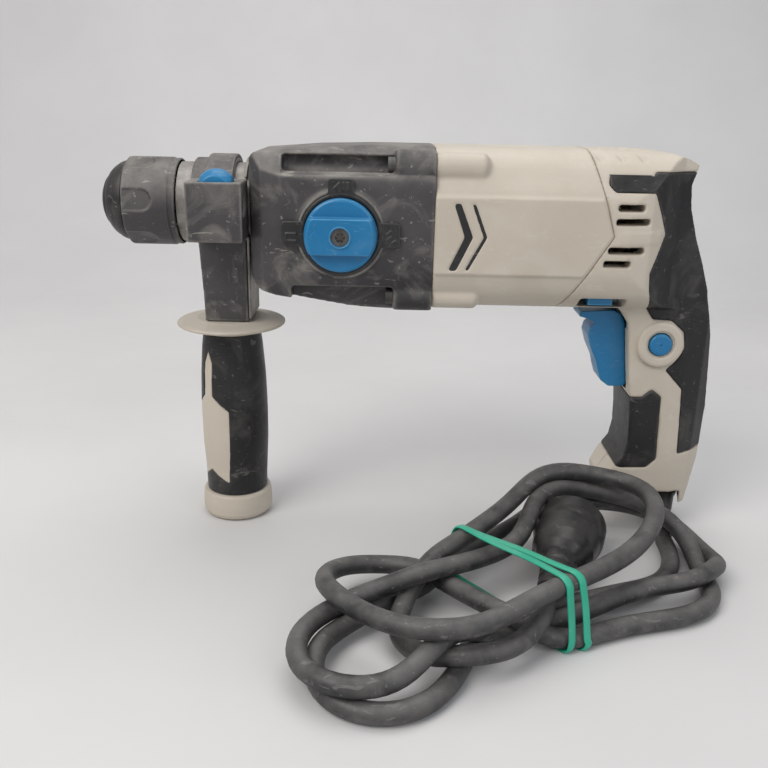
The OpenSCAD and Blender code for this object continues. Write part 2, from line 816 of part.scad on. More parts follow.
module cord_boot() color(rubber) {
  translate(boot_at) sphere(boot_ball);
  translate(boot_at) cylinder(h = 8.6, r = 6);
  translate(boot_at) rotate([0, 0, boot_heading]) {
    rotate([0, 90 + boot_dip, 0]) cylinder(h = boot_straight + 1, r1 = 7, r2 = 5.6);
    translate([boot_bend_at[0], 0, boot_bend_at[1]]) rotate([90, 0, 0]) rotate(-90 - boot_dip)
      rotate_extrude(angle = boot_dip) translate([boot_bend, 0]) circle(5.2);
    translate([boot_bend_at[0] - 1, 0, boot_bend_at[1] - boot_bend]) rotate([0, 90, 0])
      cylinder(h = boot_straight + 1, r1 = 5.4, r2 = 5);
  }
}

// Route of the lead from the boot to the hank, on the table
lead_z = table_z + cord_d / 2;
lead_route = [
  boot_end, boot_end + boot_straight * [cos(boot_heading), sin(boot_heading), 0], [292, -62, lead_z]
];

module cord_lead() color(rubber) swept(lead_route, cord_d / 2, cord_d / 2, 12);

hank_ends = [[164, -121], [245, -70]];
hank_dir = (hank_ends[1] - hank_ends[0]) / norm(hank_ends[1] - hank_ends[0]);
hank_angle = atan2(hank_dir[1], hank_dir[0]);
hank_mid = (hank_ends[0] + hank_ends[1]) / 2;
hank_half = norm(hank_ends[1] - hank_ends[0]) / 2;
band_w = 7;
band_t = 1.5;

// The hank's own frame: long axis along local X, middle at the origin, on the table
module hank_frame() translate([hank_mid[0], hank_mid[1], table_z]) rotate([0, 0, hank_angle]) children();

module hank_outline(r) {
  translate([-hank_half, -r]) square([2 * hank_half, 2 * r]);
  for (s = [-1, 1]) translate([s * hank_half, 0]) circle(r);
}

module cord_hank() color(rubber) difference() {
  hank_frame() linear_extrude(hank_h) hank_outline(hank_r);
  hank_frame() translate([-band_w / 2, -hank_r - 1, -1]) cube([band_w, 2 * hank_r + 2, 1 + band_t]);
  plug_frame() plug_space();
}

module tie_band() color(green) hank_frame() difference() {
  translate([-band_w / 2, -hank_r - band_t, 0]) cube([band_w, 2 * (hank_r + band_t), hank_h + band_t]);
  translate([-band_w, -hank_r, band_t]) cube([2 * band_w, 2 * hank_r, hank_h - band_t]);
}

plug_at = [222, -112];
plug_angle = 70;
plug_face = 66;
pin_l = 19;
pin_gap = 19;
pin_r = 2.4;

// The plug's own frame: cord end at the origin, pins towards local X, axis level
module plug_frame() translate([plug_at[0], plug_at[1], table_z + plug_r]) rotate([0, 0, plug_angle]) children();

module plug_space() {
  box([-6, -plug_r, -plug_r - 1], [plug_face + pin_l + 1, plug_r, hank_h]);
}

module plug() color(black) plug_frame() difference() {
  turned([
    [0, 0], [0, 6], [26, 8.5], [30, 12], [36, 15], [50, plug_r - 1.5], [54, plug_r],
    [plug_face, plug_r], [plug_face, 0]
  ]);
  both_sides() rod_x(plug_face - 12, plug_face + 1, pin_r, 0, pin_gap / 2);
}

module plug_pins() color(bright) plug_frame() both_sides() {
  rod_x(plug_face - 12, plug_face + pin_l - 1, pin_r, 0, pin_gap / 2);
  rod_x(plug_face + pin_l - 1, plug_face + pin_l, pin_r - 0.6, 0, pin_gap / 2);
}

dust_cap();
chuck_sleeve();
lock_ring();
locking_ball();
chuck_spring();
spring_washer();
spindle();
spindle_gear();
shaft_seal();
front_bearing();
spindle_support();
impact_bolt();
striker();
piston();
wobble_ring();
countershaft();
wobble_hub();
reduction_gear();
countershaft_bearings();
gearbox_nose();
gearbox_cover();
bearing_plate();
housing_screws();
selector_plate();
selector_knob();
selector_screw();
armature_shaft();
armature_core();
armature_windings();
commutator();
fan();
motor_bearings();
stator_core();
field_coils();
brush_holders();
carbon_brushes();
motor_housing();
side_chevrons();
handle_shell_left();
handle_shell_right();
rubber_back();
rubber_front();
handle_screws();
switch_module();
trigger();
direction_lever();
lock_button();
clamp_yoke();
clamp_strap();
clamp_plate();
clamp_bolt();
depth_button();
handle_core();
grip_sleeve();
cord_boot();
cord_lead();
cord_hank();
tie_band();
plug();
plug_pins();
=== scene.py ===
"""Corded rotary hammer drill: camera, mains lead, materials and detailed pieces round the CAD frame."""
import json
import math

import bmesh
import bpy
import numpy as np
from mathutils import Matrix, Vector


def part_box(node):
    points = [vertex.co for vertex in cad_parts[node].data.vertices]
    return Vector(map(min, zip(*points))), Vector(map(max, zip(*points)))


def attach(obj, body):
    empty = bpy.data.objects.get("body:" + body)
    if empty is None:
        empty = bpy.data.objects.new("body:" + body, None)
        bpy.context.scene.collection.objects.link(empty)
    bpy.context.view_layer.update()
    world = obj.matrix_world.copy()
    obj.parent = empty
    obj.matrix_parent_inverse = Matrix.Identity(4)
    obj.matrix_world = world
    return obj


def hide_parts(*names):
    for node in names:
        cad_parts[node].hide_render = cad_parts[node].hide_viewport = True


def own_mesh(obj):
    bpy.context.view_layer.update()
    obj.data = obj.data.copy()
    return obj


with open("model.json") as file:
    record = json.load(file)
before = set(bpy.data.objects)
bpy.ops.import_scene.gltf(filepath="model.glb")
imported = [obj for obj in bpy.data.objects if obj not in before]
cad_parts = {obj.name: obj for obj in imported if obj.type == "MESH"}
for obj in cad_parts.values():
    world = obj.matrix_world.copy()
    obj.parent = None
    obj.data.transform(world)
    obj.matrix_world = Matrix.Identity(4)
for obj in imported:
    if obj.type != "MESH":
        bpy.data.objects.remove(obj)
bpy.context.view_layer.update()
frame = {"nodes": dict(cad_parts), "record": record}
MM = 0.001
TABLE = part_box("handle_core")[0][2]
scene = bpy.context.scene


# ---- Camera, light and floor ----

CAMERA_AT = (0.1452, -0.4476, 0.0520)
CAMERA_LENS = 39.84
CAMERA_LOOKS_DOWN = 18.5
CAMERA_ROLL = 1.2

# Name, place, the point it faces, diameter, power and colour of each lamp
LIGHTS = [
    ("key", (-0.55, -0.75, 0.95), (0.13, 0, -0.05), 0.9, 11.5, (1.0, 0.97, 0.93)),
    ("fill", (0.95, -0.9, 0.5), (0.15, 0, -0.05), 1.0, 3.0, (0.93, 0.96, 1.0)),
    ("top", (0.2, 0.25, 1.2), (0.15, 0, -0.1), 1.2, 7.0, (1.0, 0.99, 0.97)),
]
SKY_COLOUR = (0.85, 0.86, 0.91, 1)
SKY_STRENGTH = 0.45

FLOOR_X = (-2.5, 2.8)
FLOOR_FRONT_Y = -1.6
FLOOR_BACK_Y = 0.55
BACKDROP_RADIUS = 0.5
BACKDROP_STEPS = 12
BACKDROP_HEIGHT = 2.2
FLOOR_GAP = 0.0002


def make_camera():
    data = bpy.data.cameras.new("camera")
    data.sensor_width = 36.0
    data.lens = CAMERA_LENS
    camera = bpy.data.objects.new("camera", data)
    tilt = math.radians(90 - CAMERA_LOOKS_DOWN)
    roll = math.radians(CAMERA_ROLL)
    camera.matrix_world = (
        Matrix.Translation(CAMERA_AT)
        @ Matrix.Rotation(tilt, 4, "X")
        @ Matrix.Rotation(roll, 4, "Z")
    )
    scene.collection.objects.link(camera)
    scene.camera = camera


def area_light(name, at, towards, size, power, colour):
    """A soft round lamp that the camera can't see itself."""
    data = bpy.data.lights.new(name, "AREA")
    data.shape = "DISK"
    data.size = size
    data.energy = power
    data.color = colour
    light = bpy.data.objects.new(name, data)
    light.location = at
    light.rotation_euler = (Vector(towards) - Vector(at)).to_track_quat("-Z", "Y").to_euler()
    light.visible_camera = False
    scene.collection.objects.link(light)


def make_stage():
    """A pale floor that curves up into a backdrop well behind the object."""
    profile = [(FLOOR_FRONT_Y, 0.0), (FLOOR_BACK_Y, 0.0)]
    for step in range(1, BACKDROP_STEPS + 1):
        a = math.radians(90 * step / BACKDROP_STEPS)
        profile.append((FLOOR_BACK_Y + BACKDROP_RADIUS * math.sin(a), BACKDROP_RADIUS * (1 - math.cos(a))))
    profile.append((FLOOR_BACK_Y + BACKDROP_RADIUS, BACKDROP_HEIGHT))
    mesh = bpy.data.meshes.new("floor")
    vertices = [(x, y, TABLE - FLOOR_GAP + z) for y, z in profile for x in FLOOR_X]
    faces = [(2 * i, 2 * i + 1, 2 * i + 3, 2 * i + 2) for i in range(len(profile) - 1)]
    mesh.from_pydata(vertices, [], faces)
    mesh.shade_smooth()
    floor = bpy.data.objects.new("floor", mesh)
    scene.collection.objects.link(floor)
    return floor


def make_sky():
    world = bpy.data.worlds.new("world")
    world.use_nodes = True
    background = world.node_tree.nodes["Background"]
    background.inputs["Color"].default_value = SKY_COLOUR
    background.inputs["Strength"].default_value = SKY_STRENGTH
    scene.world = world
    scene.view_settings.view_transform = "Standard"


make_camera()
floor = make_stage()
for lamp in LIGHTS:
    area_light(*lamp)
make_sky()


# ---- Materials ----

class Shader:
    """A node material built up from its Principled shader."""

    def __init__(self, name, roughness=0.5, metallic=0.0, **sockets):
        self.material = bpy.data.materials.new(name)
        self.material.use_nodes = True
        self.tree = self.material.node_tree
        self.bsdf = self.tree.nodes["Principled BSDF"]
        self.bsdf.inputs["Roughness"].default_value = roughness
        self.bsdf.inputs["Metallic"].default_value = metallic
        for key, value in sockets.items():
            self.bsdf.inputs[key.replace("_", " ")].default_value = value
        self.coords = self.tree.nodes.new("ShaderNodeTexCoord").outputs["Object"]
        self.geometry = self.tree.nodes.new("ShaderNodeNewGeometry")

    def put(self, socket, value):
        """Links a node's output to the socket, or sets the socket to a plain value."""
        if isinstance(value, bpy.types.NodeSocket):
            self.tree.links.new(value, socket)
        else:
            socket.default_value = value

    def scaled(self, scale):
        node = self.tree.nodes.new("ShaderNodeMapping")
        node.inputs["Scale"].default_value = scale
        self.put(node.inputs["Vector"], self.coords)
        return node.outputs["Vector"]

    def noise(self, scale, detail=4.0, rough=0.55, stretch=(1, 1, 1), warp=0.0):
        node = self.tree.nodes.new("ShaderNodeTexNoise")
        self.put(node.inputs["Vector"], self.scaled(stretch))
        node.inputs["Scale"].default_value = scale
        node.inputs["Detail"].default_value = detail
        node.inputs["Roughness"].default_value = rough
        node.inputs["Distortion"].default_value = warp
        return node.outputs["Fac"]

    def remap(self, value, low, high, to_low=0.0, to_high=1.0):
        node = self.tree.nodes.new("ShaderNodeMapRange")
        self.put(node.inputs["Value"], value)
        for key, number in (("From Min", low), ("From Max", high), ("To Min", to_low), ("To Max", to_high)):
            node.inputs[key].default_value = number
        return node.outputs["Result"]

    def math(self, operation, a, b):
        node = self.tree.nodes.new("ShaderNodeMath")
        node.operation = operation
        self.put(node.inputs[0], a)
        self.put(node.inputs[1], b)
        return node.outputs["Value"]

    def mix(self, factor, a, b):
        node = self.tree.nodes.new("ShaderNodeMix")
        node.data_type = "RGBA"
        self.put(node.inputs["Factor"], factor)
        for socket, colour in ((node.inputs[6], a), (node.inputs[7], b)):
            self.put(socket, colour if isinstance(colour, bpy.types.NodeSocket) else (*colour, 1))
        return node.outputs[2]

    def facing_up(self):
        node = self.tree.nodes.new("ShaderNodeSeparateXYZ")
        self.put(node.inputs["Vector"], self.geometry.outputs["Normal"])
        return node.outputs["Z"]

    def edges(self):
        """From 0 on flat ground to 1 along outward edges."""
        return self.remap(self.geometry.outputs["Pointiness"], 0.507, 0.55)

    def bump(self, height, depth, strength=1.0, under=None):
        node = self.tree.nodes.new("ShaderNodeBump")
        node.inputs["Strength"].default_value = strength
        node.inputs["Distance"].default_value = depth
        self.put(node.inputs["Height"], height)
        if under is not None:
            self.put(node.inputs["Normal"], under)
        return node.outputs["Normal"]

    def finish(self, colour, roughness=None, normal=None):
        self.put(self.bsdf.inputs["Base Color"], colour)
        if roughness is not None:
            self.put(self.bsdf.inputs["Roughness"], roughness)
        if normal is not None:
            self.put(self.bsdf.inputs["Normal"], normal)
        return self.material


def worn(name, base, tone, dust_and_lit_top_colour, rough, dust_and_top_light_amount, wear=None, wear_amount=0.5,
         grain=1600, grain_depth=0.00004, patches=30, scratch=0.4, **sockets):
    """Moulded plastic or rubber: two tones, dust and painted top light on faces that point up, worn edges,
    scratches and grain.
    """
    s = Shader(name, rough, **sockets)
    tones = s.remap(s.noise(18, 3.0), 0.35, 0.65)
    colour = s.mix(tones, base, tone)
    # Dust and painted top light: faces that point up are mixed, in noisy patches, towards the lighter dust
    # colour, so tops come out lighter as if lit from above.
    settled = s.math(
        "MULTIPLY", s.remap(s.facing_up(), -0.1, 0.95), s.remap(s.noise(55, 6.0, 0.65), 0.3, 0.62)
    )
    smears = s.remap(s.noise(patches, 7.0, 0.62, warp=1.2), 0.5, 0.72)
    # dirt holds this painted top light as well as the dust and the smears.
    dirt = s.math("MULTIPLY", s.math("MAXIMUM", settled, s.math("MULTIPLY", smears, 0.8)), dust_and_top_light_amount)
    colour = s.mix(dirt, colour, dust_and_lit_top_colour)
    lines = s.remap(s.noise(150, 3.0, 0.5, stretch=(0.5, 1.0, 1.6), warp=1.5), 0.66, 0.70)
    speck = s.remap(s.noise(420, 3.0, 0.6), 0.66, 0.7)
    marks = s.math("MULTIPLY", s.math("MAXIMUM", lines, speck), scratch)
    colour = s.mix(marks, colour, dust_and_lit_top_colour)
    if wear is not None:
        rubbed = s.math("MULTIPLY", s.edges(), s.remap(s.noise(70, 5.0), 0.35, 0.6))
        colour = s.mix(s.math("MULTIPLY", rubbed, wear_amount), colour, wear)
    polish = s.remap(s.noise(40, 5.0), 0.3, 0.7, rough - 0.09, rough + 0.09)
    roughness = s.math("ADD", polish, s.math("MULTIPLY", dirt, 0.2))
    normal = s.bump(s.noise(grain, 2.0), grain_depth)
    normal = s.bump(s.noise(60, 5.0, stretch=(1, 1, 1.6)), 0.00025, 0.5, normal)
    return s.finish(colour, roughness, normal)


def metal(name, base, tone, rough, turned=True, grime=0.35):
    """Machined or cast metal with tool marks and grime."""
    s = Shader(name, rough, 1.0)
    marks = s.noise(260, 3.0, stretch=(1.0, 0.06, 0.06) if turned else (1, 1, 1))
    colour = s.mix(s.remap(marks, 0.35, 0.65), base, tone)
    dirt = s.math("MULTIPLY", s.remap(s.noise(60, 6.0, 0.65), 0.5, 0.75), grime)
    colour = s.mix(dirt, colour, GRIME)
    polish = s.remap(s.noise(80, 4.0), 0.3, 0.7, rough - 0.08, rough + 0.1)
    roughness = s.math("ADD", polish, s.math("MULTIPLY", dirt, 0.3))
    return s.finish(colour, roughness, s.bump(marks, 0.00003))


def wound_wire(name, base, tone):
    """Enamelled wire laid in turns."""
    s = Shader(name, 0.3, 0.9)
    turns = s.noise(1400, 1.0, stretch=(1.0, 0.05, 0.05))
    colour = s.mix(s.remap(turns, 0.4, 0.6), base, tone)
    return s.finish(colour, s.remap(turns, 0.3, 0.7, 0.25, 0.5), s.bump(turns, 0.0003))


DUST = (0.46, 0.43, 0.38)
GRIME = (0.12, 0.11, 0.1)
MATERIALS = {
    # The beige's third colour is a lighter beige. It is its dust colour and also the painted lit-top colour of
    # its upward faces.
    "beige_plastic": worn(
        "beige_plastic", (0.56, 0.50, 0.415), (0.51, 0.455, 0.375), (0.66, 0.62, 0.55), 0.45, 0.35,
        (0.36, 0.30, 0.23), 0.5, scratch=0.25),
    "dark_plastic": worn(
        "dark_plastic", (0.030, 0.028, 0.030), (0.050, 0.046, 0.049), DUST, 0.5, 0.42,
        (0.30, 0.28, 0.25), 0.7, patches=38, scratch=0.35),
    "black_rubber": worn(
        "black_rubber", (0.006, 0.006, 0.007), (0.011, 0.011, 0.012), DUST, 0.42, 0.13,
        (0.09, 0.09, 0.09), 0.5, grain=900, grain_depth=0.00006, scratch=0.15, Specular_IOR_Level=0.4),
    "blue_plastic": worn(
        "blue_plastic", (0.002, 0.145, 0.34), (0.004, 0.175, 0.39), (0.30, 0.45, 0.52), 0.33, 0.12,
        (0.14, 0.40, 0.58), 0.6, scratch=0.12),
    "black_plastic": worn(
        "black_plastic", (0.009, 0.009, 0.010), (0.014, 0.014, 0.015), DUST, 0.38, 0.1,
        (0.1, 0.1, 0.1), 0.4, scratch=0.12),
    "steel": metal("steel", (0.24, 0.24, 0.24), (0.34, 0.34, 0.345), 0.42, grime=0.5),
    "grimy_steel": metal("grimy_steel", (0.10, 0.097, 0.092), (0.17, 0.163, 0.155), 0.5, grime=0.6),
    "bright_steel": metal("bright_steel", (0.62, 0.63, 0.64), (0.72, 0.73, 0.74), 0.2, grime=0.15),
    "alloy": metal("alloy", (0.30, 0.285, 0.265), (0.37, 0.35, 0.33), 0.62, turned=False, grime=0.55),
    "copper": wound_wire("copper", (0.45, 0.17, 0.07), (0.62, 0.27, 0.12)),
    "brass": metal("brass", (0.6, 0.44, 0.18), (0.68, 0.52, 0.24), 0.32, turned=False),
    "carbon": worn("carbon", (0.03, 0.03, 0.031), (0.045, 0.045, 0.046), (0.12, 0.12, 0.12), 0.55, 0.2),
    "green_rubber": worn(
        "green_rubber", (0.01, 0.36, 0.22), (0.015, 0.42, 0.27), (0.35, 0.6, 0.5), 0.42, 0.15, scratch=0.1),
    "cord_rubber": worn(
        "cord_rubber", (0.013, 0.013, 0.015), (0.024, 0.024, 0.026), (0.32, 0.31, 0.29), 0.5, 0.38,
        (0.15, 0.14, 0.13), 0.4, patches=45, grain=1200, grain_depth=0.00006, scratch=0.3),
}
SLOTS = {part["node"]: part["material_slot"] for part in frame["record"]["subparts"]}


WORN_SCREWS = ("housing_screws", "handle_screws", "selector_screw")


def paint_cad():
    """Gives every CAD node the material of its slot. The screws that show are grimy."""
    for node, obj in frame["nodes"].items():
        finish = "grimy_steel" if node in WORN_SCREWS else SLOTS[node]
        for place in obj.material_slots:
            place.material = MATERIALS[finish]


def paint_floor():
    s = Shader("floor_paint", 0.6)
    colour = s.mix(s.remap(s.noise(6, 5.0), 0.35, 0.65), (0.64, 0.635, 0.63), (0.67, 0.665, 0.66))
    floor.data.materials.append(s.finish(colour, s.remap(s.noise(30, 4.0), 0.3, 0.7, 0.5, 0.7)))


paint_cad()
paint_floor()


# ---- Making pieces ----

def link(name, mesh, body, slot, *nodes):
    """A mesh piece in the row frame that rides on body, takes the slot's finish and stands for the CAD nodes."""
    obj = bpy.data.objects.new(name, mesh)
    scene.collection.objects.link(obj)
    if not mesh.materials:
        mesh.materials.append(MATERIALS[slot])
    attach(obj, body)
    if nodes:
        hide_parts(*nodes)
    return obj


# ---- Mains lead: its route, and how it settles ----

# The hank's own frame runs along HANK_ALONG and across it from HANK_AT
CORD_D = 0.009
HANK_AT = Vector((0.209, -0.095, 0))
HANK_TURN = math.radians(32.1)
HANK_ALONG = Vector((math.cos(HANK_TURN), math.sin(HANK_TURN), 0))
HANK_ACROSS = Vector((-math.sin(HANK_TURN), math.cos(HANK_TURN), 0))
LEAD_Z = TABLE + CORD_D / 2
PLUG_AT = Vector((0.222, -0.112, -0.157))
PLUG_TURN = math.radians(70)
PLUG_ALONG = Vector((math.cos(PLUG_TURN), math.sin(PLUG_TURN), 0))
BOOT_END = Vector((0.2987, -0.0332, -0.16998))
BOOT_TURN = math.radians(-104)
BOOT_ALONG = Vector((math.cos(BOOT_TURN), math.sin(BOOT_TURN), 0))


def hank_point(along, across, height):
    """A point of the hank from millimetres along it, across it and above the table."""
    point = HANK_AT + HANK_ALONG * along * MM + HANK_ACROSS * across * MM
    return Vector((point.x, point.y, LEAD_Z + height * MM))


# The lead's course from the boot, in millimetres along the hank, across it and above the table
LEAD_IN = [(99, -7, 0), (89, -18, 0), (75, -26, 0), (58, -28, 1)]
TURN_LOW = [
    (40, -25, 3), (20, -21, 0), (2, -15, 0), (-18, -14, 0), (-37, -19, 0),
    (-53, -29, 0), (-68, -38, 0), (-84, -43, 0), (-98, -39, 0), (-108, -29, 0),
    (-111, -15, 1), (-108, -1, 3), (-98, 9, 4), (-82, 14, 5), (-62, 19, 5),
    (-38, 26, 6), (-10, 32, 9), (20, 34, 12), (48, 38, 14), (68, 37, 15),
    (84, 30, 16), (97, 20, 15), (107, 8, 10)]
TURN_MIDDLE = [
    (112, -5, 4), (109, -22, 1), (98, -36, 1), (82, -42, 4), (64, -40, 8),
    (44, -35, 9), (22, -31, 4), (2, -26, 0), (-18, -25, 3), (-44, -26, 11),
    (-70, -31, 12), (-89, -35, 9), (-104, -31, 9), (-113, -21, 9), (-117, -8, 9),
    (-113, 5, 9), (-103, 14, 10), (-88, 18, 12), (-70, 18, 13), (-50, 15, 15),
    (-26, 12, 18), (-4, 11, 19), (20, 16, 20), (46, 24, 22), (68, 26, 22),
    (88, 20, 22), (100, 6, 18), (104, -12, 10)]
TURN_HIGH = [
    (98, -32, 2), (87, -46, 0), (72, -53, 0), (55, -53, 0), (40, -48, 0),
    (26, -44, 0), (8, -42, 0), (-9, -37, 1), (-21, -26, 6), (-28, -12, 10), (-31, 4, 12),
    (-33, 20, 10), (-38, 35, 7), (-48, 45, 7), (-60, 49, 10), (-73, 45, 13),
    (-83, 35, 15), (-87, 22, 18), (-87, 6, 20), (-83, -10, 22), (-76, -24, 22), (-62, -35, 22),
    (-40, -38, 24), (-16, -36, 26), (4, -36, 27), (25, -34, 27), (45, -32, 30),
    (63, -24, 34), (78, -10, 35), (86, 8, 35), (80, 24, 34), (62, 35, 32),
    (36, 36, 29), (6, 29, 26), (-20, 23, 20), (-42, 18, 12), (-60, 6, 6),
    (-70, -9, 4), (-67, -24, 5)]
TO_PLUG = [(-56, -34, 8), (-40, -40, 8), (-24, -38, 8)]
INSIDE_BOOT = 0.010
INSIDE_PLUG = 0.004
STRAIGHT_AT_PLUG = 0.014


def cord_route():
    """The whole course from the boot to the plug, in metres."""
    turns = LEAD_IN + TURN_LOW + TURN_MIDDLE + TURN_HIGH + TO_PLUG
    from_boot = [BOOT_END - BOOT_ALONG * INSIDE_BOOT, BOOT_END]
    to_plug = [PLUG_AT - PLUG_ALONG * STRAIGHT_AT_PLUG, PLUG_AT + PLUG_ALONG * INSIDE_PLUG]
    return from_boot + [hank_point(*place) for place in turns] + to_plug


def smooth_path(points, step):
    """Points every step metres along a centripetal curve through the given points."""
    p = np.array([tuple(q) for q in points])
    p = np.vstack([2 * p[0] - p[1], p, 2 * p[-1] - p[-2]])
    knots = np.concatenate([[0], np.cumsum(np.linalg.norm(np.diff(p, axis=0), axis=1) ** 0.5)])
    dense = []
    for i in range(1, len(p) - 2):
        t0, t1, t2, t3 = knots[i - 1:i + 3]
        for t in np.linspace(t1, t2, 24, endpoint=False):
            a1 = (t1 - t) / (t1 - t0) * p[i - 1] + (t - t0) / (t1 - t0) * p[i]
            a2 = (t2 - t) / (t2 - t1) * p[i] + (t - t1) / (t2 - t1) * p[i + 1]
            a3 = (t3 - t) / (t3 - t2) * p[i + 1] + (t - t2) / (t3 - t2) * p[i + 2]
            b1 = (t2 - t) / (t2 - t0) * a1 + (t - t0) / (t2 - t0) * a2
            b2 = (t3 - t) / (t3 - t1) * a2 + (t - t1) / (t3 - t1) * a3
            dense.append((t2 - t) / (t2 - t1) * b1 + (t - t1) / (t2 - t1) * b2)
    dense = np.array(dense + [p[-2]])
    along = np.concatenate([[0], np.cumsum(np.linalg.norm(np.diff(dense, axis=0), axis=1))])
    count = int(round(along[-1] / step)) + 1
    at = np.linspace(0, along[-1], count)
    return np.stack([np.interp(at, along, dense[:, k]) for k in range(3)], axis=1)


# The plug as spheres that the lead may not enter: place along its axis and radius, in millimetres
PLUG_SPHERES = [(10, 8), (20, 9), (30, 12.5), (40, 16), (50, 18), (60, 18.5), (66, 18.5)]
# How the lead settles, in metres. A bend is measured over SPAN points each way.
POINT_GAP = 0.004
ROUNDS = 160
TIGHTEST = 0.031
SPAN = 4
SINK_FIRST, SINK_LAST = 0.00003, 0.00001
PULL_TO_COURSE = 0.03
LIFT_OVER = 0.6
LONGEST_MOVE = 0.0015
HELD_POINTS, EASED_POINTS = 3, 8
POINTS_AT_PLUG = 16


def blurred(values, spread):
    """Each row averaged with its neighbours along the lead by a bell curve that is spread points wide."""
    reach = np.arange(-3 * spread, 3 * spread + 1)
    weights = np.exp(-0.5 * (reach / spread) ** 2)
    weights /= weights.sum()
    padded = np.pad(values, ((3 * spread, 3 * spread), (0, 0)), mode="edge")
    columns = [np.convolve(padded[:, k], weights, "valid") for k in range(values.shape[1])]
    return np.stack(columns, axis=1)


def settle(path, rounds):
    """Lets the lead sink on to the table and on to itself. Moves are spread along it, so it stays stiff."""
    p = path.copy()
    count = len(p)
    gap = np.linalg.norm(np.diff(path, axis=0), axis=1).mean()
    balls = [(np.array(PLUG_AT + PLUG_ALONG * a * MM), (r * MM + CORD_D / 2)) for a, r in PLUG_SPHERES]
    rows, columns = np.triu_indices(count, int(2.2 * CORD_D / gap) + 2)
    place = np.arange(count)
    from_end = np.minimum(place, count - 1 - place)
    free = np.clip((from_end - HELD_POINTS) / EASED_POINTS, 0, 1)[:, None]
    for number in range(rounds):
        move = np.zeros_like(p)
        move[:, 2] -= SINK_FIRST if number < 0.5 * rounds else SINK_LAST
        move += PULL_TO_COURSE * (path - p)
        delta = p[columns] - p[rows]
        distance = np.linalg.norm(delta, axis=1)
        close = distance < CORD_D
        push = delta[close] / np.maximum(distance[close], 1e-6)[:, None]
        push[:, 2] += np.where(path[columns[close], 2] < path[rows[close], 2], -LIFT_OVER, LIFT_OVER)
        push *= (0.5 * (CORD_D - distance[close]))[:, None]
        np.add.at(move, columns[close], push)
        np.add.at(move, rows[close], -push)
        for centre, radius in balls:
            away = p - centre
            distance = np.linalg.norm(away, axis=1)
            inside = distance < radius
            inside[-POINTS_AT_PLUG:] = False
            share = (radius - distance[inside]) / np.maximum(distance[inside], 1e-6)
            move[inside] += away[inside] * share[:, None]
        arch = 0.5 * (p[:-2 * SPAN] + p[2 * SPAN:]) - p[SPAN:-SPAN]
        rise = np.linalg.norm(arch, axis=1)
        over = np.maximum(rise - (SPAN * gap) ** 2 / (2 * TIGHTEST), 0) / np.maximum(rise, 1e-6)
        arch *= 0.5 * over[:, None]
        move[SPAN:-SPAN] += arch
        move[:-2 * SPAN] -= 0.5 * arch
        move[2 * SPAN:] -= 0.5 * arch
        move[:, 2] += np.maximum(LEAD_Z - p[:, 2], 0)
        limit = LONGEST_MOVE / np.maximum(np.linalg.norm(move, axis=1), LONGEST_MOVE)
        p += 0.9 * free * blurred(move * limit[:, None], 2)
        for factor in (0.5, -0.51):
            p += factor * free * (blurred(p, 2) - p)
        p[:, 2] = np.maximum(p[:, 2], LEAD_Z)
    return p


def make_lead():
    """The settled lead as a curve, the points that it follows, and its length."""
    path = settle(smooth_path(cord_route(), POINT_GAP), ROUNDS)
    curve = bpy.data.curves.new("mains_lead", "CURVE")
    curve.dimensions = "3D"
    spline = curve.splines.new("POLY")
    spline.points.add(len(path) - 1)
    for place, point in zip(spline.points, path):
        place.co = (*point, 1)
    curve.bevel_depth = CORD_D / 2
    curve.bevel_resolution = 5
    curve.use_fill_caps = True
    curve.materials.append(MATERIALS["cord_rubber"])
    lead = bpy.data.objects.new("mains_lead", curve)
    scene.collection.objects.link(lead)
    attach(lead, "housing")
    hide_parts("cord_lead", "cord_hank")
    length = float(np.linalg.norm(np.diff(path, axis=0), axis=1).sum())
    return lead, path, length


lead, lead_path, lead_length = make_lead()


# ---- Solid shapes in millimetres ----

def circle_angles(count):
    return np.linspace(0, 2 * math.pi, count, endpoint=False)


def skin(bm, rows):
    """Faces between each row of vertices and the next, where every row is a closed ring."""
    count = len(rows[0])
    for a, b in zip(rows, rows[1:]):
        for k in range(count):
            j = (k + 1) % count
            bm.faces.new((a[k], a[j], b[j], b[k]))


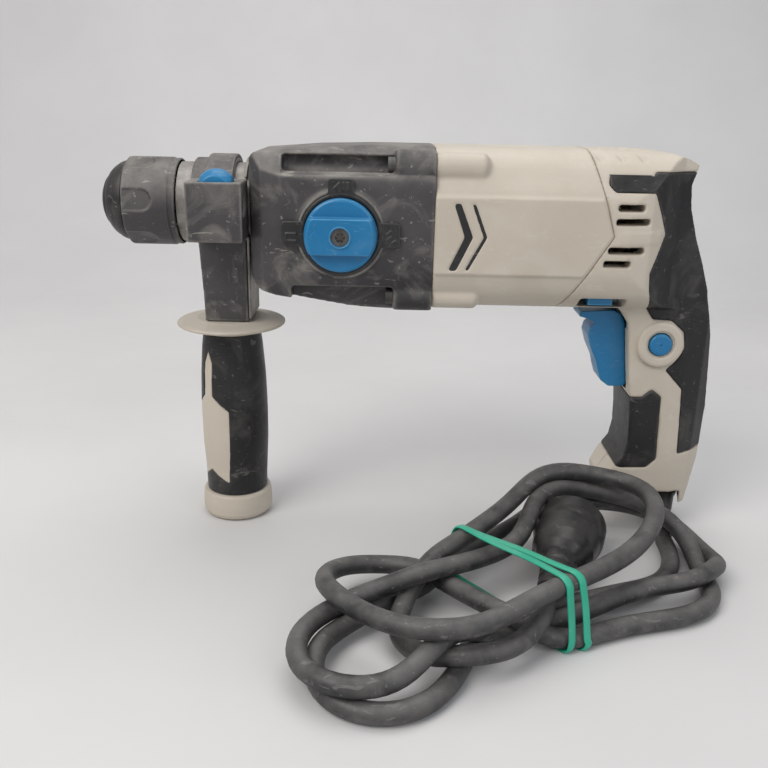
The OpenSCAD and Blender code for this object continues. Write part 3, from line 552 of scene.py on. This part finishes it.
class Form:
    """Closed shapes gathered in one mesh. Sizes are in millimetres in the row frame."""

    def __init__(self):
        self.bm = bmesh.new()

    def box(self, low, high):
        spans = [(low[k], high[k]) for k in range(3)]
        corners = [self.bm.verts.new((x, y, z)) for x in spans[0] for y in spans[1] for z in spans[2]]
        for face in ((0, 1, 3, 2), (4, 6, 7, 5), (0, 4, 5, 1), (2, 3, 7, 6), (0, 2, 6, 4), (1, 5, 7, 3)):
            self.bm.faces.new([corners[k] for k in face])
        return self

    def rings(self, rings):
        """A closed solid through rings of points, with a cap at each end."""
        made = [[self.bm.verts.new(p) for p in ring] for ring in rings]
        skin(self.bm, made)
        self.bm.faces.new(list(reversed(made[0])))
        self.bm.faces.new(made[-1])
        return self

    def rod(self, start, end, radius, sides=48):
        start, end = Vector(start), Vector(end)
        turn = (end - start).to_track_quat("Z", "Y")
        circle = [Vector((math.cos(a), math.sin(a), 0)) for a in circle_angles(sides)]
        return self.rings([[at + turn @ (c * radius) for c in circle] for at in (start, end)])

    def ball(self, at, r, squash=(1, 1, 1)):
        made = bmesh.ops.create_uvsphere(self.bm, u_segments=32, v_segments=16, radius=r)
        for v in made["verts"]:
            v.co = Vector(at) + Vector(c * s for c, s in zip(v.co, squash))
        return self

    def prism(self, outline, axis, low, high):
        """Extrudes an outline along axis x, y or z. Its points are the two other coordinates in order."""
        def place(p, h):
            return {"x": (h, p[0], p[1]), "y": (p[0], h, p[1]), "z": (p[0], p[1], h)}[axis]
        return self.rings([[place(p, h) for p in outline] for h in (low, high)])

    def turned(self, outline, axis, at=(0, 0), sides=96):
        """Revolves a closed outline of (along, radius) points about the axis x, y or z through at."""
        def place(h, u, v):
            return {"x": (h, u, v), "y": (u, h, v), "z": (u, v, h)}[axis]
        made = []
        for a in circle_angles(sides):
            c, s = math.cos(a), math.sin(a)
            made.append([self.bm.verts.new(place(h, at[0] + r * c, at[1] + r * s)) for h, r in outline])
        skin(self.bm, made + made[:1])
        return self

    def node(self, name):
        """Adds the mesh of a CAD node."""
        copy = bmesh.new()
        copy.from_mesh(frame["nodes"][name].data)
        bmesh.ops.scale(copy, vec=(1000, 1000, 1000), verts=copy.verts)
        bmesh.ops.remove_doubles(copy, verts=copy.verts, dist=0.0005)
        mesh = bpy.data.meshes.new("copy")
        copy.to_mesh(mesh)
        copy.free()
        self.bm.from_mesh(mesh)
        bpy.data.meshes.remove(mesh)
        return self

    def object(self):
        """The finished shapes as an object, still in millimetres."""
        bmesh.ops.recalc_face_normals(self.bm, faces=self.bm.faces)
        mesh = bpy.data.meshes.new("form")
        self.bm.to_mesh(mesh)
        self.bm.free()
        obj = bpy.data.objects.new("form", mesh)
        scene.collection.objects.link(obj)
        return obj


def applied(obj):
    """The mesh of obj with its modifiers applied. obj itself goes."""
    mesh = bpy.data.meshes.new_from_object(obj.evaluated_get(bpy.context.evaluated_depsgraph_get()))
    old = obj.data
    bpy.data.objects.remove(obj)
    bpy.data.meshes.remove(old)
    return mesh


def moulded(form, voxel, smooth, cut=None, keep=None):
    """One moulded skin: the form's shapes joined, less the cut, within the keep, with every edge softened."""
    obj = form.object()
    tools = []
    for other, operation in ((cut, "DIFFERENCE"), (keep, "INTERSECT")):
        if other is None:
            continue
        tool = other.object()
        tools.append(tool)
        boolean = obj.modifiers.new("boolean", "BOOLEAN")
        boolean.operation = operation
        boolean.solver = "EXACT"
        boolean.use_self = True
        boolean.object = tool
    remesh = obj.modifiers.new("remesh", "REMESH")
    remesh.mode = "VOXEL"
    remesh.voxel_size = voxel
    remesh.use_smooth_shade = True
    soft = obj.modifiers.new("soft", "SMOOTH")
    soft.factor = 0.5
    soft.iterations = smooth
    mesh = applied(obj)
    for tool in tools:
        data = tool.data
        bpy.data.objects.remove(tool)
        bpy.data.meshes.remove(data)
    mesh.transform(Matrix.Scale(MM, 4))
    mesh.shade_smooth()
    mesh.materials.clear()
    return mesh


# ---- Plastic casings ----

# Piece, the CAD node it stands for, body, material slot, voxel size in millimetres and rounds of smoothing
SKINS = [
    ("motor_casing", "motor_housing", "housing", "beige_plastic", 0.8, 4),
    ("gearbox_casing", "gearbox_cover", "housing", "dark_plastic", 0.8, 5),
    ("rear_shell_left", "handle_shell_left", "housing", "beige_plastic", 0.7, 4),
    ("rear_shell_right", "handle_shell_right", "housing", "beige_plastic", 0.7, 4),
    ("back_pad", "rubber_back", "housing", "black_rubber", 0.7, 4),
    ("front_pad", "rubber_front", "housing", "black_rubber", 0.6, 4),
    ("handle_clamp", "clamp_yoke", "side_handle", "dark_plastic", 0.6, 4),
    ("handle_band", "clamp_strap", "side_handle", "dark_plastic", 0.5, 3),
    ("sleeve", "chuck_sleeve", "chuck", "dark_plastic", 0.5, 4),
    ("trigger_shell", "trigger", "trigger", "blue_plastic", 0.4, 12),
    ("lever_shell", "direction_lever", "direction_lever", "blue_plastic", 0.4, 3),
    ("boot", "cord_boot", "housing", "black_rubber", 0.4, 3),
]
SIDES = (-1, 1)
SELECTOR_X, SELECTOR_Z = 123, -10
SELECTOR_AXIS = (SELECTOR_X, SELECTOR_Z)
SIDE_Y = 36.5
JOINT_X = 168
EAR_Y = 27
# Height and radius of the screw ears, and the end, radius and squash of the screw bosses behind them
EARS = [(22, 7.9), (-41.4, 7.3)]
BOSS_ENDS = [(190.6, 22, 6.7, 0.55), (188.6, -41.4, 5.7, 0.6)]
SIDE_PANEL = [(168.2, 8.6), (248.0, 8.6), (253.4, -9), (241.2, -28.5), (168.2, -28.5)]
RIB_PLAN = [
    (257.5, 34.5), (257.5, 36.9), (262, 36.9), (273, 34.3), (279.5, 30.3), (279.0, 28.6), (272.5, 32.4),
    (262, 34.5),
]
RIB_Z = (-12.2, -6.6)
DIMPLES_X = (244.6, 255, 265.4)
# The two chevrons of each side, as (x, z) outlines
CHEVRONS = [
    [(176.5, 6), (180.4, 6), (187, -10.3), (179.2, -27), (174.7, -27), (182.4, -10.3)],
    [(185.1, 6), (187.4, 6), (193.9, -10.3), (185, -27), (182.6, -27), (191.5, -10.3)],
]


def cover_extras(form):
    """The raised rim round the mode knob and the round screw ears at the cover's rear corners."""
    rim = [(-35.5, 19.9), (-38.0, 19.9), (-38.3, 20.4), (-37.9, 21.2), (-35.5, 22.2)]
    form.turned(rim, "y", SELECTOR_AXIS)
    for side in SIDES:
        y = side * (EAR_Y + 0.2)
        for z, r in EARS:
            form.rod((149, y, z), (JOINT_X, y, z), r)


def cover_cuts(form):
    """The screw holes in the front of the ears."""
    for side in SIDES:
        for z, _ in EARS:
            form.rod((147, side * EAR_Y, z), (152, side * EAR_Y, z), 3.4)


def housing_extras(form):
    """Raised side panels, which also fill the CAD model's chevron recesses, and rounded screw boss ends."""
    for side in SIDES:
        form.prism(SIDE_PANEL, "y", side * (SIDE_Y - 3), side * (SIDE_Y + 0.3))
        for x, z, r, squash in BOSS_ENDS:
            form.ball((x, side * EAR_Y, z), r, (squash, 1, 1))


def shell_rib(side):
    """What adds the raised rib between the two pairs of vents to the shell of one side."""
    return lambda form: form.prism([(x, side * y) for x, y in RIB_PLAN], "z", *RIB_Z)


def housing_cuts(form):
    """The recesses of the chevrons."""
    for side in SIDES:
        for outline in CHEVRONS:
            form.prism(outline, "y", side * (SIDE_Y - 0.9), side * (SIDE_Y + 2))


def top_dimples(form):
    """Three slanting finger dimples on each shoulder of the rear shells."""
    for side in SIDES:
        for x in DIMPLES_X:
            form.rod((x - 0.6, side * 19.6, 32.0), (x + 4.0, side * 25.2, 26.0), 1.5, sides=20)


EXTRAS = {
    "gearbox_cover": cover_extras, "motor_housing": housing_extras,
    "handle_shell_left": shell_rib(-1), "handle_shell_right": shell_rib(1),
}
CUTS = {
    "gearbox_cover": cover_cuts, "motor_housing": housing_cuts,
    "handle_shell_left": top_dimples, "handle_shell_right": top_dimples,
}


def add_skins():
    """Softened skins over the CAD shapes of moulded parts."""
    for name, node, body, slot, voxel, smooth in SKINS:
        form = Form().node(node)
        cut = None
        if node in EXTRAS:
            EXTRAS[node](form)
        if node in CUTS:
            cut = Form()
            CUTS[node](cut)
        link(name, moulded(form, voxel, smooth, cut=cut), body, slot, node)


add_skins()


def make_chevrons():
    """Black inlays that fill the chevron recesses of both sides."""
    form = Form()
    for side in SIDES:
        for outline in CHEVRONS:
            form.prism(outline, "y", side * (SIDE_Y - 1.3), side * (SIDE_Y - 0.1))
    link("chevron_inlays", moulded(form, 0.3, 1), "housing", "black_plastic", "side_chevrons")


def rounded_box(x0, x1, z0, z1, r=1.6):
    """A box outline with rounded corners."""
    line = []
    corners = (
        (x1 - r, z1 - r, 0), (x0 + r, z1 - r, 90), (x0 + r, z0 + r, 180), (x1 - r, z0 + r, 270),
    )
    for cx, cz, start in corners:
        for step in range(0, 91, 30):
            a = math.radians(start + step)
            line.append((cx + r * math.cos(a), cz + r * math.sin(a)))
    return line


PLATE_RING = [
    (-34.6, 7.2), (-38.3, 7.2), (-38.3, 17.8), (-38.9, 18.2), (-38.9, 19.3), (-38.3, 19.8), (-34.6, 19.8),
]
# The tabs' left, right, lower and upper edges and the pictograms' bars, all from the knob's axis
TABS = [(-28.5, -17, -6, 6), (17, 28.5, -6, 6), (-6.2, 6.2, 17, 26.4)]
PICTOGRAM_BARS = [
    ((-26.5, -3.2), (-21.5, -3.2)), ((-26.5, 0.2), (-21.5, 0.2)), ((-26.5, 0.2), (-26.5, -3.2)),
    ((-3.4, 21.6), (-0.6, 24.4)), ((1.2, 21.2), (1.2, 24.6)), ((3.2, 21.2), (3.2, 24.6)),
    ((21.6, -2.6), (24.2, -0.4)), ((21.6, 0.2), (24.2, 2.4)), ((24.2, -3.8), (26.4, -2.2)),
]


def make_mode_plate():
    """The black plate under the knob: a ring, three tabs and a small raised pictogram on each."""
    x, z = SELECTOR_AXIS
    form = Form()
    form.turned(PLATE_RING, "y", SELECTOR_AXIS)
    for left, right, low, high in TABS:
        form.prism(rounded_box(x + left, x + right, z + low, z + high), "y", -38.7, -34.6)
    for (u0, v0), (u1, v1) in PICTOGRAM_BARS:
        form.rod((x + u0, -38.75, z + v0), (x + u1, -38.75, z + v1), 0.45, sides=10)
    link("mode_plate", moulded(form, 0.35, 1), "housing", "black_plastic", "selector_plate")


def make_clamp_plate():
    """The thin steel keeper plate behind the clamp block."""
    form = Form()
    form.rod((73.8, 0, 0), (75.3, 0, 0), 23.0)
    form.prism([(73.8, -10), (75.3, -10), (75.0, -58.5), (73.8, -58.5)], "y", -14.6, 14.6)
    cut = Form().rod((70, 0, 0), (80, 0, 0), 20.4)
    cut.box((70, -41, -15.5), (80, -15, 14.2))
    link("keeper_plate", moulded(form, 0.3, 1, cut=cut), "side_handle", "alloy", "clamp_plate")


def make_spring():
    """The sleeve's coil spring, on a mesh of its own."""
    mesh = moulded(Form().node("chuck_spring"), 0.22, 1)
    spring = link("sleeve_spring", mesh, "spindle", "bright_steel", "chuck_spring")
    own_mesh(spring)


make_spring()
make_chevrons()
make_mode_plate()
make_clamp_plate()


# ---- Tool holder ----

NOSE_OUTLINE = [
    (0.0, 7.3), (-0.1, 8.6), (0.5, 9.9), (1.2, 11.4), (1.9, 12.4), (2.3, 12.3), (2.7, 13.2), (4.0, 15.2),
    (5.6, 16.9), (7.2, 18.1), (7.6, 17.9), (8.1, 18.7), (9.6, 19.5), (11.2, 20.0), (12.4, 20.1),
    (12.5, 18.2), (8, 16.4), (8, 8.8), (4.9, 8.8), (4.8, 7.3),
]


def make_nose():
    """The rubber nose cap with its fine rings."""
    cap = moulded(Form().turned(NOSE_OUTLINE, "x"), 0.35, 2)
    link("nose_cap", cap, "spindle", "black_rubber", "dust_cap")


make_nose()


# ---- Side handle grip ----

GRIP_X = 62
ARROW = [
    (0, -77), (3.2, -84), (3.2, -102), (12.5, -110), (12, -154), (0, -146),
    (-12, -154), (-12.5, -110), (-3.2, -102), (-3.2, -84),
]


GRIP_PLACES = [-154, -146, -130, -112, -92, -76, -68]
GRIP_RADII = [16.9, 17.3, 18.2, 18.3, 17.6, 16.4, 15.4]
GRIP_TOP, GRIP_BOTTOM = -68.3, -159.8
GRIP_BORE = 12.9
CORE_OUTLINE = [
    (-60.4, 3.9), (-60.4, 18.2), (-61.0, 20.5), (-62.0, 26.5), (-62.6, 28.6), (-63.4, 29.0), (-64.3, 28.4),
    (-64.8, 26.0), (-66.4, 20.0), (-67.9, 16.6), (-68.3, 12.9), (-159.9, 12.9), (-160.2, 18.4),
    (-161.5, 19.0), (-166.0, 19.4), (-168.0, 19.5), (-172.0, 19.3), (-174.2, 18.2), (-175.0, 16.0),
    (-175.0, 0.2), (-76.0, 0.2), (-76.0, 3.9),
]


def grip_radius(z):
    return float(np.interp(z, GRIP_PLACES, GRIP_RADII))


def shifted(x, z, grow):
    """A point of the arrow moved outwards by about grow."""
    sideways = 1 if x > 0 else -1 if x < 0 else 0
    upwards = 1.5 if z > -80 else -1.2 if z < -150 else 0.0 if z > -105 else 0.6 if z > -120 else -1.0
    return x + grow * sideways, z + grow * upwards


def arrow_form(grow, depth_low, depth_high):
    """The arrow prism on both broad sides of the grip, square to the diagonal that it faces."""
    form = Form()
    for turn in (-43, 137):
        c, s = math.cos(math.radians(turn)), math.sin(math.radians(turn))
        rings = []
        for y in (-depth_low, -depth_high):
            ring = []
            for x, z in (shifted(*point, grow) for point in ARROW):
                ring.append((GRIP_X + c * x - s * y, s * x + c * y, z))
            rings.append(ring)
        form.rings(rings)
    return form


def make_side_grip():
    """The rubber sleeve with its arrow cut-outs, the core with flange and foot, and the arrow inlays."""
    profile = [(z, grip_radius(z)) for z in np.linspace(GRIP_TOP, GRIP_BOTTOM, 26)]
    outline = [(GRIP_TOP, GRIP_BORE)] + profile + [(GRIP_BOTTOM, GRIP_BORE)]
    sleeve = moulded(Form().turned(outline, "z", (GRIP_X, 0)), 0.45, 3, cut=arrow_form(0.0, 13.4, 30))
    link("grip_rubber", sleeve, "side_grip", "black_rubber", "grip_sleeve")
    core = moulded(Form().turned(CORE_OUTLINE, "z", (GRIP_X, 0)), 0.5, 2)
    link("grip_core", core, "side_grip", "beige_plastic", "handle_core")
    face = [(z, grip_radius(z) - 0.15) for z in np.linspace(-74, -158, 24)]
    inlay = Form().turned([(-74, 12.7)] + face + [(-158, 12.7)], "z", (GRIP_X, 0))
    arrows = moulded(inlay, 0.4, 2, keep=arrow_form(-0.25, 12.8, 30))
    link("grip_arrows", arrows, "side_grip", "beige_plastic")


make_side_grip()


# ---- Mode knob, buttons and small fittings ----

KNOB_FACE = -38.6
KNOB_BASE = [
    (KNOB_FACE, 0.5), (KNOB_FACE, 17.5), (-40.5, 17.7), (-42.4, 17.4), (-43.0, 16.4), (-43.0, 0.5),
]
KNOB_LIMIT = [(KNOB_FACE, 0.5), (KNOB_FACE, 17.5), (-46.5, 17.2), (-48.0, 15.8), (-48.0, 0.5)]
KNOB_HUB = [
    (-46.8, 0.4), (-46.8, 5.6), (-48.3, 5.4), (-48.6, 5.0), (-48.6, 4.5), (-46.9, 4.4), (-46.9, 0.4),
]
LOCK_AXIS = (289, -66.5)
LOCK_CAP = [
    (-12.2, 0.4), (-12.2, 2.9), (-13.2, 3.0), (-13.3, 5.8), (-20.2, 5.9), (-20.9, 5.4), (-21.2, 4.2),
    (-21.1, 0.4),
]
BOSS_RING = [(-19.2, 7.0), (-20.2, 7.2), (-20.6, 8.0), (-20.6, 10.6), (-20.1, 11.9), (-19.2, 12.3)]
DEPTH_BUTTON = [
    (-25.2, 9.6), (-25.2, 16.9), (-25.6, 17.4), (-26.4, 18.2), (-28, 18.9), (-31.5, 19.4), (-35, 18.9),
    (-36.6, 18.2), (-37.4, 17.4), (-37.8, 16.9), (-37.8, 9.6),
]


def make_knob():
    """The mode knob with its grip bar and arrow mark, and the ring round its screw."""
    x, z = SELECTOR_AXIS
    bar = Form().box((x - 20, -48.0, z - 8.6), (x + 20, KNOB_FACE - 0.2, z + 8.6))
    bar_mesh = moulded(bar, 0.4, 3, keep=Form().turned(KNOB_LIMIT, "y", SELECTOR_AXIS))
    bar_mesh.transform(Matrix.Scale(1 / MM, 4))
    knob = Form().turned(KNOB_BASE, "y", SELECTOR_AXIS)
    knob.bm.from_mesh(bar_mesh)
    bpy.data.meshes.remove(bar_mesh)
    cut = Form()
    for side in SIDES:
        cut.rod((x - 15.5, -48.6, z), (x - 12, -48.6, z + side * 3.2), 0.9, sides=12)
    cut.rod((x, -52, z), (x, -44.2, z), 4.4)
    link("mode_knob", moulded(knob, 0.35, 2, cut=cut), "selector", "blue_plastic", "selector_knob")
    hub = moulded(Form().turned(KNOB_HUB, "y", SELECTOR_AXIS), 0.25, 2)
    link("knob_hub", hub, "selector", "blue_plastic")


def make_lock_button():
    """The lock-on button and the raised ring of its boss on each side."""
    cap = moulded(Form().turned(LOCK_CAP, "y", LOCK_AXIS), 0.25, 2)
    link("lock_cap", cap, "lock_button", "blue_plastic", "lock_button")
    for side, name in ((1, "boss_ring_left"), (-1, "boss_ring_right")):
        shape = Form().turned([(side * h, r) for h, r in BOSS_RING], "y", LOCK_AXIS)
        link(name, moulded(shape, 0.3, 2), "housing", "beige_plastic")


def make_depth_button():
    """The domed button that frees the depth rod."""
    form = Form().prism(DEPTH_BUTTON, "x", 55.4, 70.8)
    crown = Form().ball((63.1, -31.5, 8.0), 11.5, (0.92, 0.80, 1))
    button = moulded(form, 0.3, 4, keep=crown)
    link("rod_button", button, "depth_button", "blue_plastic", "depth_button")


make_knob()
make_lock_button()
make_depth_button()


# ---- Tie band and plug ----

# Place along the hank, slant and name of the band's two strands
BAND_STRANDS = [(-10, -0.12, "band_front"), (-7, -0.22, "band_back")]
BAND_REACH = CORD_D / MM / 2 + 0.5
BAND_THICK, BAND_WIDE = 0.75, 2.0
BAND_SIDES = 12


def half_hull(points):
    """One side of the convex outline of sorted 2-D points."""
    out = []
    for p in points:
        while len(out) > 1:
            a, b = out[-2], out[-1]
            if (b[0] - a[0]) * (p[1] - a[1]) > (b[1] - a[1]) * (p[0] - a[0]):
                break
            out.pop()
        out.append(p)
    return out


def hull(points):
    """Convex outline of 2-D points, counter-clockwise."""
    points = sorted(set(points))
    return half_hull(points)[:-1] + half_hull(points[::-1])[:-1]


def band_loop(along, tilt):
    """The line of (across, height) points, in millimetres, that the band takes round the runs near it."""
    runs = []
    for point in lead_path:
        u = (Vector(point) - HANK_AT).dot(HANK_ALONG) / MM
        v = (Vector(point) - HANK_AT).dot(HANK_ACROSS) / MM
        height = (point[2] - TABLE) / MM
        if abs(u - along - tilt * v) < 5:
            for a in circle_angles(16):
                runs.append((
                    round(v + BAND_REACH * math.cos(a), 2), round(height + BAND_REACH * math.sin(a), 2)
                ))
    line = hull(runs)
    dense = []
    for a, b in zip(line, line[1:] + line[:1]):
        count = max(1, int(math.dist(a, b) / 1.5))
        dense += [(a[0] + (b[0] - a[0]) * k / count, a[1] + (b[1] - a[1]) * k / count) for k in range(count)]
    return dense


def band_ring(line, k, along, tilt, phase):
    """The band's section at point k of its line."""
    v, z = line[k]
    before, after = line[k - 1], line[(k + 1) % len(line)]
    tv, tz = after[0] - before[0], after[1] - before[1]
    size = math.hypot(tv, tz)
    nv, nz = tz / size, -tv / size
    wave = 0.5 * math.sin(k * 0.21 + phase)
    ring = []
    for a in circle_angles(BAND_SIDES):
        out = BAND_THICK * math.cos(a)
        side = BAND_WIDE * math.sin(a) + wave
        uu, vv, zz = along + tilt * v + side, v + nv * out, z + nz * out
        point = HANK_AT + HANK_ALONG * uu * MM + HANK_ACROSS * vv * MM
        ring.append((point.x, point.y, max(TABLE + 0.0001, TABLE + zz * MM)))
    return ring


def make_band():
    """Two flat strands of one rubber band. The first stands for the CAD model's band."""
    for number, (along, tilt, name) in enumerate(BAND_STRANDS):
        line = band_loop(along, tilt)
        bm = bmesh.new()
        made = [
            [bm.verts.new(p) for p in band_ring(line, k, along, tilt, number)] for k in range(len(line))
        ]
        skin(bm, made + made[:1])
        bmesh.ops.recalc_face_normals(bm, faces=bm.faces)
        mesh = bpy.data.meshes.new("band")
        bm.to_mesh(mesh)
        bm.free()
        mesh.shade_smooth()
        link(name, mesh, "housing", "green_rubber", *(("tie_band",) if number == 0 else ()))


make_band()


PLUG_OUTLINE = [
    (0, 0.3), (0, 5.4), (0.8, 6.0), (4, 6.2), (4.6, 5.7), (7, 5.9), (7.6, 6.6), (10, 6.8), (10.6, 6.2),
    (13, 6.4), (13.6, 7.2), (16, 7.5), (16.6, 6.9), (19, 7.1), (19.6, 8.0), (26, 8.6), (30, 12), (36, 15),
    (45, 16.1), (50, 16.6), (52, 17.4), (54, 17.9), (65, 17.9), (66, 17.2), (66, 12.4), (64.6, 11.9),
    (64.6, 0.3),
]


def make_plug():
    """The round plug with its ribbed neck."""
    mesh = moulded(Form().turned(PLUG_OUTLINE, "x"), 0.45, 2)
    mesh.transform(Matrix.Translation(PLUG_AT) @ Matrix.Rotation(PLUG_TURN, 4, "Z"))
    link("plug_body", mesh, "housing", "black_plastic", "plug")


make_plug()
